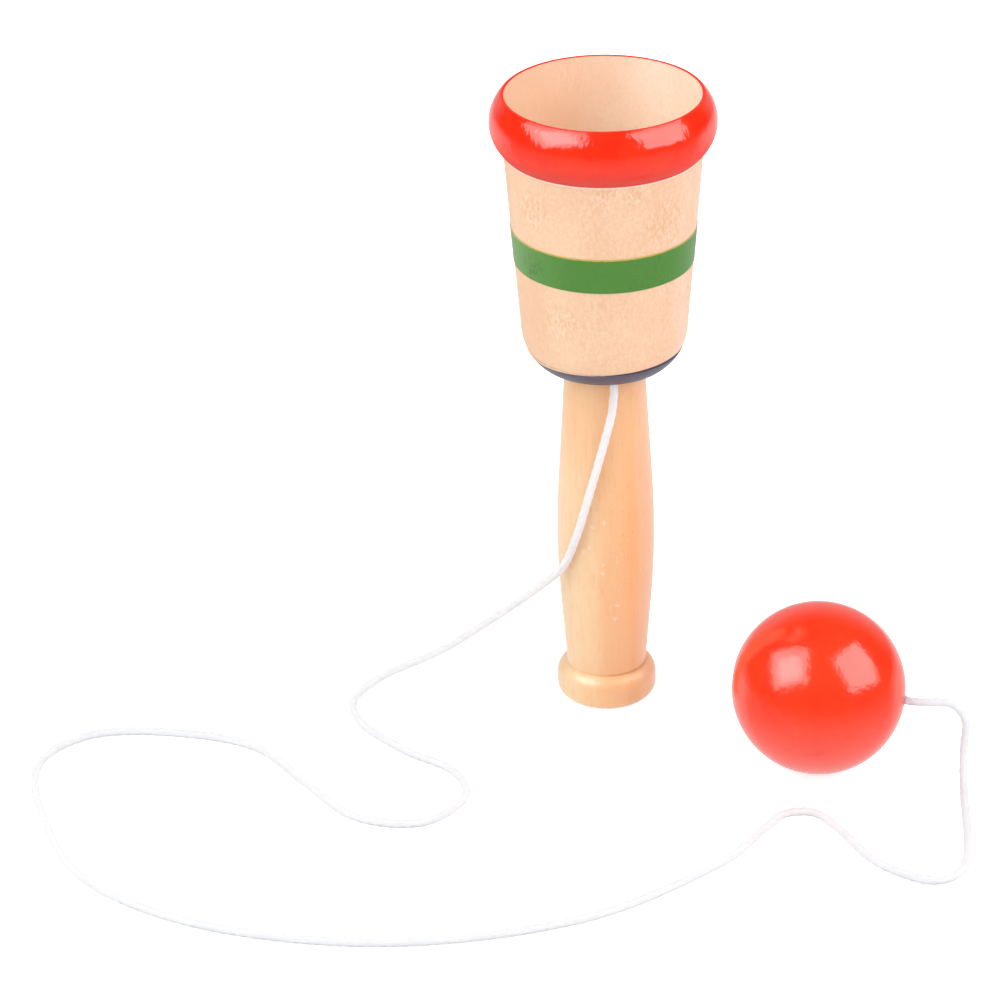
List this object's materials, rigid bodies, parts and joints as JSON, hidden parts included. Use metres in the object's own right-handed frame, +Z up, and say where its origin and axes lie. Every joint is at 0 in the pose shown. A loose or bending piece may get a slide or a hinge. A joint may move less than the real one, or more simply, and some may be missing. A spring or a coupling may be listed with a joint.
{
  "type": "cup and ball toy",
  "caption": "Turned wooden cup on a turned handle, with a painted ball tied on by a cord, for tossing the ball and catching it in the cup.",
  "frame": {"origin": "centre of the handle's foot, on the face that it stands on", "axes": "+Z up along the handle and cup, -Y to the front, +X to the ball's side"},
  "size_m": [0.1975, 0.1236, 0.1401],
  "materials": {
    "handle_wood": "clear-lacquered, turned, with a fine upright grain",
    "cup_wood": "clear-lacquered, turned, with short fine pores",
    "rim_red": "gloss red paint on wood",
    "band_green": "gloss green paint on wood",
    "base_navy": "dark blue paint on wood",
    "ball_red": "wood under gloss red paint",
    "white_cord": "twisted white cotton"
  },
  "bodies": {
    "toy": {"handle": "handle_wood", "cup": "cup_wood", "rim_paint": "rim_red", "band_paint": "band_green", "base_paint": "base_navy", "cup_knot": "white_cord", "cord": "white_cord"},
    "cord_end": {"ball_knot": "white_cord"},
    "ball": {"ball": "ball_red"}
  },
  "joints": [
    {"name": "ball_lift", "type": "slide", "parent": "toy", "child": "cord_end", "axis": [0, 0, 1], "range_m": [0, 0.16], "deforming": ["cord"]},
    {"name": "ball_spin", "type": "hinge", "parent": "cord_end", "child": "ball", "pos_m": [0.0435, -0.0327, 0.01825], "axis": [0.9758, -0.2074, -0.0698], "continuous": true}
  ]
}
